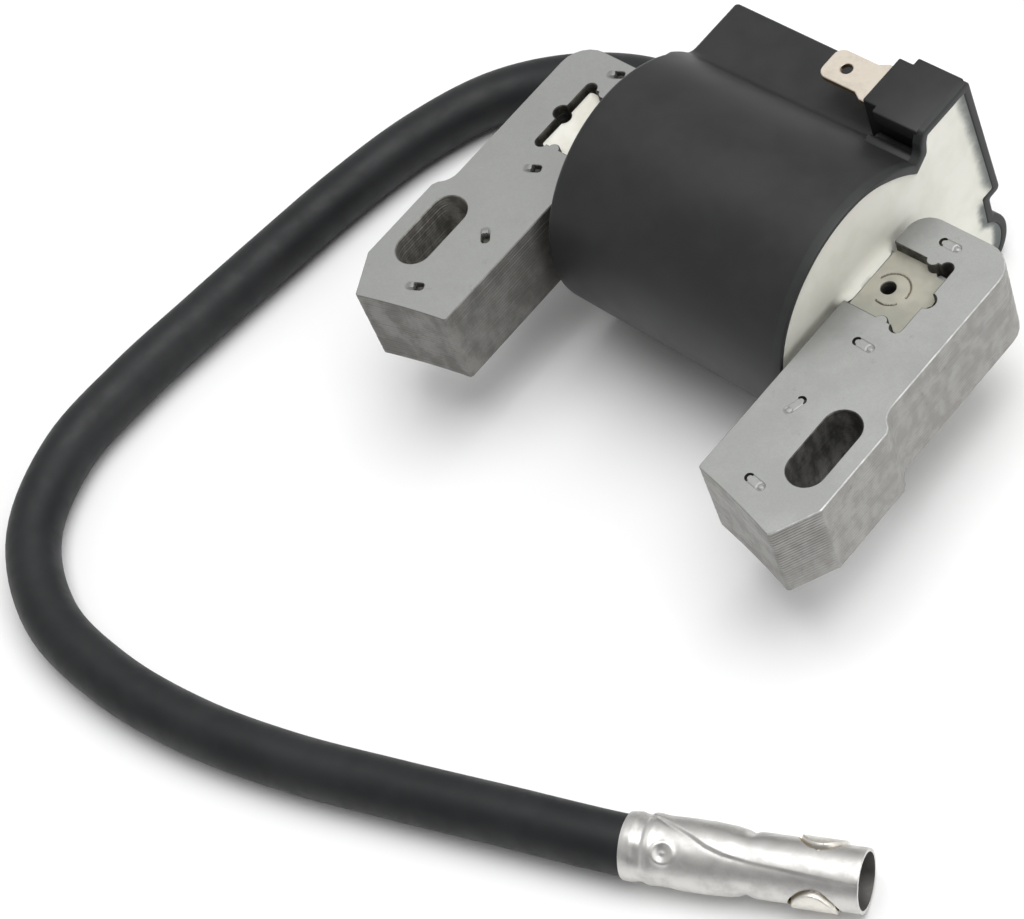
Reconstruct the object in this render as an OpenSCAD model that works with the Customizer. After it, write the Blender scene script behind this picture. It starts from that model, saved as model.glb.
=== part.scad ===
// Flywheel ignition coil for a small engine: a U-shaped laminated core with two slotted mounting legs,
// a potted transistor coil on its centre bar, a stop-switch tab and a spark plug lead with its terminal.
// X runs along the coil from the left leg to the right leg. -Y points at the flywheel. +Z is up.
// The origin is midway between the two mounting slots, on the seat face under the legs.

/* [Core legs] */
// Distance between the two mounting slots
slot_spacing = 64; // [63:0.5:65]
// Height of each lamination stack
stack_h = 12.5; // [12:0.5:13.5]
// Width of a mounting slot
slot_w = 5; // [4.5:0.1:5.5]
// Length of a mounting slot, end to end
slot_len = 11.6; // [10:0.2:13]
// Distance from the middle to the inner side of a leg
leg_inner = 20.7; // [20.5:0.1:21.5]
// Distance from the middle to the outer side of a leg, at its wide front
leg_outer = 37; // [36:0.1:38]
// Distance from the middle to the outer side of a leg, behind the jog
leg_waist = 35.2; // [34.5:0.1:36]
// Distance from the slots back to the rear end of a leg
leg_back = 33.5; // [33:0.1:36]
// Radius of the flywheel that the pole faces look at
flywheel_r = 119; // [90:1:150]
// Distance from the slots to the inner corner of a pole face
pole_reach = 9.8; // [9:0.1:11]

/* [Centre bar] */
// Distance from the slots back to the coil's axis
core_y = 23; // [22.5:0.1:23.5]
// Width of the centre bar
bar_w = 9.7; // [9:0.1:10]
// Height of the centre bar
bar_h = 8.5; // [8:0.1:9]
// Gap between the bar's end and the wall of its pocket
bar_gap = 0.6; // [0.2:0.1:0.8]

/* [Coil can] */
// Outer radius of the can at its closed left end
can_r_closed = 17; // [16.8:0.1:17.2]
// Outer radius of the can at its open right end
can_r_open = 17.4; // [17.2:0.1:17.6]
// Left end of the can, along X
can_left = -18.4; // [-18.6:0.1:-18.2]
// Right end of the can, along X
can_right = 20; // [19.8:0.1:20.2]
// Wall thickness of the can
can_wall = 1.2; // [1:0.1:1.3]
// Thickness of the closed left end
can_floor = 1.4; // [1.2:0.1:1.8]
// Depth of the potting below the open rim
potting_drop = 0.8; // [0.4:0.1:1.2]

/* [Electronics box] */
// Rear face of the electronics box at its top, back from the slots
box_back = 46.8; // [46.5:0.1:47.2]
// Rear face of the electronics box at its foot, back from the slots
box_foot = 47.5; // [47.2:0.1:47.8]
// Top face of the electronics box
box_top = 15.5; // [15:0.1:16]
// Left end of the terminal block
block_left = 12.4; // [11.8:0.1:12.6]
// Top face of the terminal block
block_top = 22.5; // [22:0.1:23]
// Top face of the stop-switch tab
tab_top = 20.4; // [20:0.1:20.8]
// Width of the stop-switch tab
tab_w = 4.8; // [4.7:0.1:5]

/* [Spark plug lead] */
// Outer diameter of the lead
lead_d = 7.3; // [7:0.1:7.4]
// Outer radius of the plug terminal's barrel
barrel_r = 3.85; // [3.8:0.05:4]
// Sheet thickness of the plug terminal
clip_sheet = 0.4; // [0.3:0.05:0.5]
// Length of the plug terminal
clip_len = 28.5; // [27:0.5:30]

/* [Hidden] */
$fn = 64;

cut = 1;                              // how far a cutting shape runs past the face it cuts
fit = 0.1;                            // clearance round a piece that sits in a pocket
mid_z = stack_h / 2;                  // height of the coil's axis
bar_z = mid_z - bar_h / 2;            // underside of the centre bar

// Legs
pole_tip = [leg_outer - 3.5, -13.4];  // outer corner of a pole face, before the flywheel arc is cut
chamfer_y = -6.9;
jog_y = [5.5, 8.8];
jog_r = 3;
back_r = [3, 4];                      // rounding of a leg's rear corners, inner and outer
flywheel_y = -pole_reach - sqrt(pow(flywheel_r, 2) - pow(leg_inner, 2));
pocket_end = 29.5;
pocket_w = bar_w + 2 * fit;
lip_x = 26.5;
lip_r = 0.9;
lip_out = 0.25;                       // how far outside the pocket's side a lip's centre lies
relief = [28.7, 0.8];                 // place along X and radius of the corner reliefs
key_r = 1.1;                          // half-round notch in the middle of the pocket's end
rivet_hole = [23.3, 1];               // place along X and radius of the bar's holes
stakes = [[27, 30.9], [26.9, 14], [25.2, 3], [27.9, -7.9]];
stake_turn = [0, -2, 74, -9];
stake_size = [3.2, 1.3, 0.35];        // length, width and depth of one interlock stake
bar_end = pocket_end - bar_gap;

// Windings, all round the coil's axis
spool_x = [-15.5, 15.5];
primary_r = 9.2;
wrap_r = 9.7;
secondary_core_r = 10.7;
secondary_r = 14.1;
flange_r = 15;
flange_t = 0.8;
secondary_slots = 8;
spool_wall = 0.8;
secondary_inset = 1.2;
secondary_x = [spool_x[0] + secondary_inset, spool_x[1] - secondary_inset];
slot_pitch = (secondary_x[1] - secondary_x[0] - flange_t) / secondary_slots;
pack_end = 16.5;

// Housing
web_front = core_y + 7;               // where the box and its web run into the can
web_y = 45.4;
web_top = 0.7;
box_left = -18.9;
boss = [42.4, -6.3];                  // centre of the lead's boss, Y and Z
boss_r = 4.85;
web_low = boss[1] - boss_r + 0.15;
socket_r = lead_d / 2 + fit;
socket_end = -6;
divider = -4;                         // where the solid boss ends and the potted space begins
contact_head_r = 1.5;                 // radius of the contact's head, which seals the socket's end
block_y = [37, 46.4];
collar = [10.3, 37.9, 45.3];              // left end and Y range of the narrower collar round the tab
crevice = [37.9, 16.5, 20.3];
rib_y = [34.8, 36.4];
rib_top = 18.9;
fillet_r = 2.5;
edge_r = 0.8;
block_wall = 1.2;
inner_block_x = block_left + block_wall;
fill_x = can_right - potting_drop;

// Electronics
board = [[-14, 39.5, 3.6], [28, 1.2, 9.4]];
board_back = board[0][1] + board[1][1];
wire_r = 0.35;                        // radius of the wires inside the coil
contact_r = 0.9;                      // radius of the pin that the lead is pushed on to
contact_tail = 2;                     // how far the pin stands out behind the divider
lead_wire_z = [5, 9];                 // heights of the primary's two wires

// Stop-switch tab
tab_t = 0.8;
tab_tip = 1.3;
tab_y = 42;
tab_corner = 1.3;
tab_hole = [4.2, 0.8];
tab_flare = [7.3, 8.5, 6.2];            // where the shoulder starts and ends, and its width
tail_w = 3.8;
tail_x = 15.2;

// Route of the lead's centre line, from the bottom of its socket to the plug terminal's mouth and into it
clip_turn = 24.7;
clip_mouth = [35.5, -47.2, -7.05];
clip_inside = 7;
route = [
  [-6, 42.4, -6.3], [-18.4, 42.4, -6.3], [-28, 43.2, -6.9], [-38, 42.6, -7.4], [-47.5, 38, -7.5],
  [-55, 30.5, -7.5], [-60, 19.5, -7.5], [-62.8, 7, -7.5], [-64.5, -6, -7.5], [-65.9, -19, -7.5],
  [-67.1, -32, -7.5], [-66.7, -45, -7.5], [-61.2, -57, -7.5], [-50.2, -64.4, -7.5], [-36.5, -66.4, -7.5],
  [-22, -65.3, -7.5], [-8, -62.1, -7.5], [6, -57.5, -7.4], [20.4, -52.5, -7.2], clip_mouth,
  clip_mouth + clip_inside * [cos(clip_turn), sin(clip_turn), 0]
];
route_sides = 10;
conductor_r = 0.65;
conductor_len = 4;

// Plug terminal, as [distance from its mouth, outer radius]
clip_profile = [
  [0, 4.05], [1.3, 4.1], [1.9, 3.95], [2.6, 4.1], [3.6, 4.1], [4.1, 3.95], [9, 4.1], [13, 4.05],
  [14.9, 3.35], [16.4, barrel_r], [clip_len, barrel_r - 0.05]
];
window = [23.1, 2.95];                // place along the terminal and radius of the two spring windows
pad_r = 2.7;                          // radius of a spring pad's outline
pad_out = 0.35;                       // how far a spring pad stands out of its window
pad_turn = 17;                        // how far the windows are turned from the side of the terminal
spring_sheet = 0.3;
spring_r = barrel_r - clip_sheet - fit - spring_sheet;
spring_len = 5.4;

steel = "darkgray";
black = [0.2, 0.2, 0.2];
copper = "peru";

// Lays a flat outline drawn in Y and Z along X, from x0 to x1
module along_x(x0, x1) {
  translate([x0, 0, 0]) rotate([90, 0, 90]) linear_extrude(x1 - x0) children();
}

// A rod along X round the coil's axis, with radius ra at x0 and rb at x1
module rod(x0, x1, ra, rb) {
  translate([x0, core_y, mid_z]) rotate([0, 90, 0]) cylinder(h = x1 - x0, r1 = ra, r2 = rb);
}

module box_from(low, high) {
  translate(low) cube(high - low);
}

module obround(size) {
  union() {
    square([size[0] - size[1], size[1]], center = true);
    for (s = [-1, 1]) translate([s * (size[0] - size[1]) / 2, 0]) circle(size[1] / 2);
  }
}

// The bar's pocket in a leg: a plain notch with two lips that lock the bar
module pocket_outline() {
  translate([0, core_y]) difference() {
    union() {
      translate([leg_inner - cut, -pocket_w / 2]) square([pocket_end - leg_inner + cut, pocket_w]);
      for (s = [-1, 1]) translate([relief[0], s * pocket_w / 2]) circle(relief[1]);
      translate([pocket_end, 0]) circle(key_r);
    }
    for (s = [-1, 1]) translate([lip_x, s * (pocket_w / 2 + lip_out)]) circle(lip_r);
  }
}

// Material removed to round a leg's rear corner whose sides point along dir
module corner_cut(corner, r, dir) {
  translate([corner[0] - dir * r, corner[1] - r]) difference() {
    translate([dir > 0 ? 0 : -r - cut, 0]) square([r + cut, r + cut]);
    circle(r);
  }
}

module leg_outline() {
  difference() {
    polygon([
      [leg_inner, -pole_reach - cut], pole_tip, [leg_outer, chamfer_y], [leg_outer, jog_y[0]],
      [leg_waist, jog_y[1]], [leg_waist, leg_back], [leg_inner, leg_back]
    ]);
    translate([0, flywheel_y]) circle(flywheel_r, $fn = 360);
    corner_cut([leg_inner, leg_back], back_r[0], -1);
    corner_cut([leg_waist, leg_back], back_r[1], 1);
    translate([leg_waist + jog_r, jog_y[1]]) circle(jog_r);
    translate([slot_spacing / 2, 0]) rotate(90) obround([slot_len, slot_w]);
    pocket_outline();
  }
}

module leg() {
  difference() {
    linear_extrude(stack_h) leg_outline();
    for (i = [0 : len(stakes) - 1])
      translate([stakes[i][0], stakes[i][1], stack_h - stake_size[2]])
        rotate(stake_turn[i]) linear_extrude(cut) obround([stake_size[0], stake_size[1]]);
  }
}

module core_leg_right() {
  color(steel) leg();
}

module core_leg_left() {
  color(steel) mirror([1, 0, 0]) leg();
}

module bar_outline() {
  difference() {
    translate([-bar_end, -bar_w / 2]) square([2 * bar_end, bar_w]);
    for (s = [-1, 1], t = [-1, 1])
      translate([s * lip_x, t * (pocket_w / 2 + lip_out)]) circle(lip_r + fit);
    for (s = [-1, 1]) translate([s * (pocket_end - fit), 0]) circle(key_r);
    for (s = [-1, 1]) translate([s * rivet_hole[0], 0]) circle(rivet_hole[1]);
  }
}

module core_bar() {
  color(steel) translate([0, core_y, bar_z]) linear_extrude(bar_h) bar_outline();
}

// Epoxy that has run over one end of the bar, inside the leg's pocket
module joint_epoxy(thickness) {
  translate([0, core_y, bar_z + bar_h]) linear_extrude(thickness) difference() {
    translate([leg_inner, -bar_w / 2]) square([bar_end - leg_inner, bar_w]);
    for (t = [-1, 1]) translate([lip_x, t * (pocket_w / 2 + lip_out)]) circle(lip_r + fit);
    translate([pocket_end - fit, 0]) circle(key_r);
    translate([rivet_hole[0], 0]) circle(rivet_hole[1]);
  }
}

module joint_epoxy_right() {
  color("tan") joint_epoxy(0.4);
}

module joint_epoxy_left() {
  color("ivory") mirror([1, 0, 0]) joint_epoxy(1);
}

// Square hole through the bobbins for the centre bar
module bar_hole(x0, x1, gap) {
  box_from([x0, core_y - bar_w / 2 - gap, bar_z - gap],
           [x1, core_y + bar_w / 2 + gap, bar_z + bar_h + gap]);
}

module primary_bobbin() {
  color("dimgray") difference() {
    union() {
      bar_hole(spool_x[0], spool_x[1], spool_wall);
      rod(spool_x[0], spool_x[0] + flange_t, primary_r, primary_r);
      rod(spool_x[1] - flange_t, spool_x[1], primary_r, primary_r);
    }
    bar_hole(spool_x[0] - cut, spool_x[1] + cut, 0);
  }
}

module primary_winding() {
  color(copper) difference() {
    rod(spool_x[0] + flange_t, spool_x[1] - flange_t, primary_r, primary_r);
    bar_hole(spool_x[0], spool_x[1], spool_wall);
  }
}

module tube(x0, x1, inner, outer) {
  difference() {
    rod(x0, x1, outer, outer);
    rod(x0 - cut, x1 + cut, inner, inner);
  }
}

module insulation_wrap() {
  color("khaki") tube(spool_x[0], spool_x[1], primary_r, wrap_r);
}

module secondary_bobbin() {
  color("whitesmoke") union() {
    tube(secondary_x[0], secondary_x[1], wrap_r, secondary_core_r);
    for (i = [0 : secondary_slots])
      tube(secondary_x[0] + i * slot_pitch, secondary_x[0] + i * slot_pitch + flange_t, wrap_r, flange_r);
  }
}

module secondary_winding() {
  color("darkred") for (i = [0 : secondary_slots - 1])
    tube(secondary_x[0] + i * slot_pitch + flange_t, secondary_x[0] + (i + 1) * slot_pitch,
         secondary_core_r, secondary_r);
}

// The can's own round body, with the slight draft of a moulding and a rounded edge at its closed end
module can_body() {
  translate([can_left, core_y, mid_z]) rotate([0, 90, 0]) rotate_extrude() union() {
    polygon([
      [0, 0], [can_r_closed - edge_r, 0], [can_r_closed - edge_r, edge_r], [can_r_closed, edge_r],
      [can_r_open, can_right - can_left], [0, can_right - can_left]
    ]);
    translate([can_r_closed - edge_r, edge_r]) circle(edge_r);
  }
}

// Blend between the can and the flat top of the electronics box
module neck_fillet() {
  axis = [core_y, mid_z];
  can_r = (can_r_closed + can_r_open) / 2;
  up = box_top + fillet_r - mid_z;
  centre = axis + [sqrt(pow(can_r + fillet_r, 2) - pow(up, 2)), up];
  along_x(can_left, can_right) difference() {
    polygon([[centre[0], box_top], axis + (centre - axis) * can_r / (can_r + fillet_r), axis]);
    translate(centre) circle(fillet_r);
  }
}

module block_front_outline() {
  polygon([
    [33, 15], [33, 18], [35, 18.9], [35.9, 19.4], [36.4, 20.6], [36.6, 21.6], [block_y[0], block_top],
    [39, block_top], [39, 15]
  ]);
}

module terminal_block() {
  difference() {
    box_from([block_left, block_y[0], box_top - cut], [can_right, block_y[1], block_top]);
    box_from([block_left - cut, block_y[0] - cut, crevice[1]],
             [can_right - can_wall, crevice[0], crevice[2]]);
  }
  box_from([collar[0], collar[1], box_top - cut], [block_left, collar[2], block_top]);
  box_from([block_left - block_wall / 2, rib_y[0], box_top - cut], [can_right, rib_y[1], rib_top]);
  along_x(can_right - can_wall, can_right) block_front_outline();
}

module lead_boss(x0, x1, r) {
  translate([x0, boss[0], boss[1]]) rotate([0, 90, 0]) cylinder(h = x1 - x0, r = r);
}

// Outline of the electronics box, whose rear wall leans a little, moved inward by wall
module box_outline(wall) {
  polygon([
    [web_front, web_top + wall], [box_foot - wall, web_top + wall],
    [box_back - wall, box_top - wall], [web_front, box_top - wall]
  ]);
}

module housing_outside() {
  can_body();
  along_x(box_left, can_right) box_outline(0);
  box_from([can_left, web_front, web_low], [can_right, web_y, web_top]);
  lead_boss(can_left, can_right, boss_r);
  neck_fillet();
  terminal_block();
}

// Everything inside the housing that opens at its right end, up to x1
module housing_cavity(x1) {
  inner_top = box_top - can_wall;
  along_x(can_left + can_floor, x1) box_outline(can_wall);
  rod(can_left + can_floor, x1, can_r_closed - can_wall, can_r_open - can_wall);
  box_from([divider, web_front, web_low + can_wall], [x1, web_y - can_wall, web_top + can_wall]);
  lead_boss(divider, x1, boss_r - can_wall);
  box_from([inner_block_x, block_y[0] + 2 * block_wall, inner_top],
           [x1, block_y[1] - block_wall, block_top - block_wall]);
  along_x(inner_block_x, x1) polygon([
    [33, 14], [33, 16], [34.7, 17.4], [36.3, 18.1], [37.4, 19.4],
    [block_y[0] + 2 * block_wall, block_top - block_wall], [block_y[0] + 2 * block_wall, 14]
  ]);
}

module tab_slot(grow) {
  box_from([collar[0] - cut, tab_y - tail_w / 2 - grow, tab_top - tab_t - grow],
           [inner_block_x + cut, tab_y + tail_w / 2 + grow, tab_top + grow]);
}

module coil_housing() {
  color(black) difference() {
    housing_outside();
    housing_cavity(can_right + cut);
    bar_hole(can_left - cut, can_left + can_floor + cut, fit);
    lead_boss(can_left - cut, socket_end, socket_r);
    lead_boss(socket_end - cut, divider + cut, contact_head_r);
    tab_slot(0);
  }
}

// Pocket in the potting for the circuit board and what stands on it
module electronics_pocket() {
  box_from([-16.5, 39, 3], [15.8, 45.2, 13.6]);
}

module potting() {
  color("beige") difference() {
    housing_cavity(fill_x);
    rod(can_left, pack_end, flange_r, flange_r);
    bar_hole(pack_end - cut, can_right, 0);
    electronics_pocket();
    ground_strap_shape();
    jumper_shape();
    lead_boss(divider - cut, divider + contact_tail, contact_head_r);
    tab_tail();
  }
}

// The part of the tab inside the housing: a tail that turns down to the board
module tab_tail() {
  box_from([collar[0], tab_y - tail_w / 2, tab_top - tab_t], [tail_x, tab_y + tail_w / 2, tab_top]);
  box_from([tail_x - tab_t, tab_y - tail_w / 2, 11], [tail_x, tab_y + tail_w / 2, tab_top]);
}

module tab_outline() {
  difference() {
    union() {
      translate([tab_tip, -tab_w / 2]) square([collar[0] - tab_tip, tab_w]);
      polygon([
        [tab_flare[0], tab_w / 2], [tab_flare[1], tab_flare[2] / 2], [collar[0], tab_flare[2] / 2],
        [collar[0], -tab_flare[2] / 2], [tab_flare[1], -tab_flare[2] / 2], [tab_flare[0], -tab_w / 2]
      ]);
    }
    for (s = [-1, 1]) translate([tab_tip + tab_corner, s * (tab_w / 2 - tab_corner)]) difference() {
      translate([-tab_corner - cut, s > 0 ? 0 : -tab_corner - cut]) square(tab_corner + cut);
      circle(tab_corner);
    }
    translate([tab_hole[0], 0]) circle(tab_hole[1]);
  }
}

module stop_switch_tab() {
  color("wheat") union() {
    translate([0, tab_y, tab_top - tab_t]) linear_extrude(tab_t) tab_outline();
    tab_tail();
  }
}

module circuit_board() {
  color("darkgreen") translate(board[0]) cube(board[1]);
}

// A component that stands on the back of the board, from the board's lower left corner
module on_board(x, z, size) {
  translate([board[0][0] + x, board_back, board[0][2] + z]) cube(size);
}

module power_transistor() {
  color(black) on_board(2, 1.2, [6.6, 2.4, 6.2]);
}

module driver_transistor() {
  color(black) on_board(10.2, 2.4, [3, 1.2, 1.6]);
}

module bias_resistors() {
  color([0.15, 0.15, 0.2]) for (i = [0 : 2]) on_board(10.2 + i * 2.6, 6, [1.6, 0.6, 2.4]);
}

module clamp_diode() {
  color("black") on_board(15, 2.2, [4.2, 2, 2.4]);
}

module filter_capacitor() {
  color("goldenrod") on_board(20.4, 2, [3.2, 1.6, 2.6]);
}

// Two wires that run along the primary's end flange and back to the edge of the board
module primary_leads() {
  start = [spool_x[1] + wire_r, core_y + primary_r - 1];
  end = board_back - wire_r;
  color(copper) for (z = lead_wire_z) union() {
    translate([start[0], start[1], z]) rotate([-90, 0, 0]) cylinder(h = end - start[1], r = wire_r);
    translate([-board[0][0], end, z]) rotate([0, 90, 0])
      cylinder(h = start[0] + board[0][0], r = wire_r);
  }
}

// Strap from the board to the side of the core bar, which grounds the coil through the legs
module ground_strap_shape() {
  box_from([17, core_y + bar_w / 2, 5.4], [17.8, board_back, 7]);
  box_from([board[0][0] + board[1][0], board[0][1], 5.4], [17, board_back, 7]);
}

module ground_strap() {
  color("gold") ground_strap_shape();
}

// Wire from the last section of the secondary down to the lead's contact
module jumper_shape() {
  from = [divider + 1.4, core_y + 11.9, mid_z - 7.7];
  drop = [0, boss[0] - from[1], boss[1] - from[2]];
  turn = atan2(-drop[2], drop[1]);
  translate(from) rotate([-90 - turn, 0, 0]) cylinder(h = norm(drop) - contact_r, r = wire_r);
}

module secondary_jumper() {
  color(copper) jumper_shape();
}

module lead_contact() {
  color("gold") union() {
    lead_boss(socket_end, divider + contact_tail, contact_r);
    lead_boss(divider - can_wall, divider, contact_head_r);
  }
}

// Ring of points round a route point, square to the route there
function direction(i) =
  let (a = route[max(i - 1, 0)], b = route[min(i + 1, len(route) - 1)]) (b - a) / norm(b - a);
function ring(i) =
  let (d = direction(i), side = cross([0, 0, 1], d), n = side / norm(side), up = cross(d, n))
  [for (k = [0 : route_sides - 1]) let (a = 360 * k / route_sides)
    route[i] + lead_d / 2 * (cos(a) * n + sin(a) * up)];

module spark_plug_lead() {
  last = len(route) - 1;
  points = [for (i = [0 : last]) each ring(i)];
  sides = [for (i = [0 : last - 1], k = [0 : route_sides - 1])
    let (a = i * route_sides + k, b = i * route_sides + (k + 1) % route_sides)
    [a, b, b + route_sides, a + route_sides]];
  ends = [[for (k = [route_sides - 1 : -1 : 0]) k], [for (k = [0 : route_sides - 1]) last * route_sides + k]];
  color(black) polyhedron(points, concat(sides, ends));
}

// Places a shape drawn along +Z on the plug terminal's axis, with z = 0 at its mouth
module on_clip() {
  translate(clip_mouth) rotate([0, 0, clip_turn]) rotate([0, 90, 0]) children();
}

module lead_conductor() {
  color(copper) on_clip() translate([0, 0, clip_inside]) cylinder(h = conductor_len, r = conductor_r);
}

// Both round spring windows, or their pads, as one cylinder across the barrel
module across_clip(r) {
  rotate([0, 0, pad_turn]) translate([0, 0, window[0]]) rotate([90, 0, 0])
    cylinder(h = 4 * barrel_r, r = r, center = true);
}

module plug_terminal() {
  outer = [for (p = clip_profile) [p[1], p[0]]];
  inner = [for (i = [len(clip_profile) - 1 : -1 : 0]) [clip_profile[i][1] - clip_sheet, clip_profile[i][0]]];
  color("silver") on_clip() difference() {
    rotate_extrude() polygon(concat(outer, inner));
    across_clip(window[1]);
  }
}

// Spring inside the barrel: a C-shaped band whose two round pads stand out through the windows
module terminal_spring() {
  low = window[0] - spring_len / 2;
  color("lightgray") on_clip() difference() {
    union() {
      translate([0, 0, low]) cylinder(h = spring_len, r = spring_r + spring_sheet);
      intersection() {
        translate([0, 0, low]) cylinder(h = spring_len, r = barrel_r + pad_out);
        across_clip(pad_r);
      }
    }
    translate([0, 0, low - cut]) cylinder(h = spring_len + 2 * cut, r = spring_r);
    rotate([0, 0, pad_turn]) translate([0, -spring_r / 2, low - cut])
      cube([2 * barrel_r, spring_r, spring_len + 2 * cut]);
  }
}

core_leg_left();
core_leg_right();
core_bar();
joint_epoxy_left();
joint_epoxy_right();
primary_bobbin();
primary_winding();
insulation_wrap();
secondary_bobbin();
secondary_winding();
coil_housing();
potting();
stop_switch_tab();
circuit_board();
power_transistor();
driver_transistor();
bias_resistors();
clamp_diode();
filter_capacitor();
primary_leads();
ground_strap();
secondary_jumper();
lead_contact();
spark_plug_lead();
lead_conductor();
plug_terminal();
terminal_spring();
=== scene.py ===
"""Flywheel ignition coil: the visual model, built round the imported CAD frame. Lengths are in millimetres
until MM turns them into metres, in the CAD's own frame (X along the coil, -Y to the flywheel, +Z up)."""
import math
import random

import bmesh
import bpy
from mathutils import Matrix, Vector, noise
from mathutils.geometry import delaunay_2d_cdt


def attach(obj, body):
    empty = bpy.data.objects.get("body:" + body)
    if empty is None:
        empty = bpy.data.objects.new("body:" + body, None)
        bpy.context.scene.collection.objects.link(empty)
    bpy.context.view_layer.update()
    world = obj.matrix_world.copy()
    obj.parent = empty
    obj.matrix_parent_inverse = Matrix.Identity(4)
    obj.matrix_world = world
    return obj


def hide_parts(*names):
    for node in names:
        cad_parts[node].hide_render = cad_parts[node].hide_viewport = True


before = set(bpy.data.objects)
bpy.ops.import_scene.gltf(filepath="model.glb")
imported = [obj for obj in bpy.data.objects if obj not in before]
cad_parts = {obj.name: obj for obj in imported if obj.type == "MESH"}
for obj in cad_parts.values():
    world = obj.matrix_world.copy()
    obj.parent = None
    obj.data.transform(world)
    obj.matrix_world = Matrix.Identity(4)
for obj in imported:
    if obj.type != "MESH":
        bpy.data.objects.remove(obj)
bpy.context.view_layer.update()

MM = 0.001
FLOOR_Z = -11.15


# ---------------------------------------------------------------- objects
def linked(name, data):
    obj = bpy.data.objects.new(name, data)
    bpy.context.collection.objects.link(obj)
    return obj


def mesh_object(name, points, faces):
    """An object made from points in millimetres."""
    data = bpy.data.meshes.new(name)
    data.from_pydata([tuple(Vector(p) * MM) for p in points], [], faces)
    data.validate()
    return linked(name, data)


def smooth(obj, degrees):
    data = obj.data
    data.polygons.foreach_set("use_smooth", [True] * len(data.polygons))
    data.set_sharp_from_angle(angle=math.radians(degrees))


def on_body(obj, node):
    """Puts a shown piece on the body, in place of its CAD node."""
    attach(obj, "root")
    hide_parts(node)


# ---------------------------------------------------------------- camera
CAMERA_AT = (208.4, -130.88, 319.46)
CAMERA_RIGHT = (0.7232, 0.6396, -0.2605)
CAMERA_DOWN = (0.4336, -0.7142, -0.5495)
FOCAL_MM = 114.26


def make_camera():
    right = Vector(CAMERA_RIGHT).normalized()
    back = right.cross(-Vector(CAMERA_DOWN)).normalized()
    up = back.cross(right)
    data = bpy.data.cameras.new("camera")
    data.lens = FOCAL_MM
    data.sensor_width = 36
    data.clip_start = 0.01
    obj = linked("camera", data)
    turn = Matrix((right, up, back)).transposed().to_4x4()
    obj.matrix_world = Matrix.Translation(Vector(CAMERA_AT) * MM) @ turn
    bpy.context.scene.camera = obj


make_camera()

# ---------------------------------------------------------------- spark plug lead
LEAD_D = 7.3
CLIP_TURN = math.radians(24.7)
CLIP_MOUTH = Vector((35.5, -47.2, -7.05))
CLIP_DIR = Vector((math.cos(CLIP_TURN), math.sin(CLIP_TURN), 0))
CLIP_INSIDE = 7
LEAD_STEPS = 8
ROUTE = [
    (-6, 42.4, -6.3), (-18.4, 42.4, -6.3), (-28, 43.2, -6.9), (-38, 42.6, -7.4), (-47.5, 38, -7.5),
    (-55, 30.5, -7.5), (-60, 19.5, -7.5), (-62.8, 7, -7.5), (-64.5, -6, -7.5), (-65.9, -19, -7.5),
    (-67.1, -32, -7.5), (-66.7, -45, -7.5), (-61.2, -57, -7.5), (-50.2, -64.4, -7.5), (-36.5, -66.4, -7.5),
    (-22, -65.3, -7.5), (-8, -62.1, -7.5), (6, -57.5, -7.4), (20.4, -52.5, -7.2), tuple(CLIP_MOUTH),
    tuple(CLIP_MOUTH + CLIP_INSIDE * CLIP_DIR),
]


def blend(a, b, start, end, t):
    """The point at t on the line that is a at start and b at end."""
    return a * ((end - t) / (end - start)) + b * ((t - start) / (end - start))


def through(points, steps):
    """A smooth line through the points: a centripetal Catmull-Rom curve."""
    p = [Vector(q) for q in points]
    p = [2 * p[0] - p[1]] + p + [2 * p[-1] - p[-2]]
    line = []
    for a, b, c, d in zip(p, p[1:], p[2:], p[3:]):
        t1 = (b - a).length ** 0.5
        t2 = t1 + (c - b).length ** 0.5
        t3 = t2 + (d - c).length ** 0.5
        for k in range(steps):
            t = t1 + (t2 - t1) * k / steps
            a1, a2, a3 = blend(a, b, 0, t1, t), blend(b, c, t1, t2, t), blend(c, d, t2, t3, t)
            line.append(blend(blend(a1, a2, 0, t2, t), blend(a2, a3, t1, t3, t), t1, t2, t))
    line.append(p[-2])
    return line


def make_lead():
    """The jacket: a tube swept along the route, with eased ends."""
    line, sides, ease = through(ROUTE, LEAD_STEPS), 48, 0.3
    points = []
    for i, at in enumerate(line):
        along = (line[min(i + 1, len(line) - 1)] - line[max(i - 1, 0)]).normalized()
        side = along.cross(Vector((0, 0, 1))).normalized()
        up = side.cross(along)
        r = LEAD_D / 2 - (ease if i in (0, len(line) - 1) else 0)
        points += [at + (side * math.cos(t) + up * math.sin(t)) * r
                   for t in (2 * math.pi * k / sides for k in range(sides))]
    last = (len(line) - 1) * sides
    faces = [(i + k, i + (k + 1) % sides, i + sides + (k + 1) % sides, i + sides + k)
             for i in range(0, last, sides) for k in range(sides)]
    faces += [tuple(range(sides))[::-1], tuple(range(last, last + sides))]
    obj = mesh_object("spark_plug_lead_jacket", points, faces)
    smooth(obj, 40)
    on_body(obj, "spark_plug_lead")
    return obj


lead = make_lead()

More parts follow.
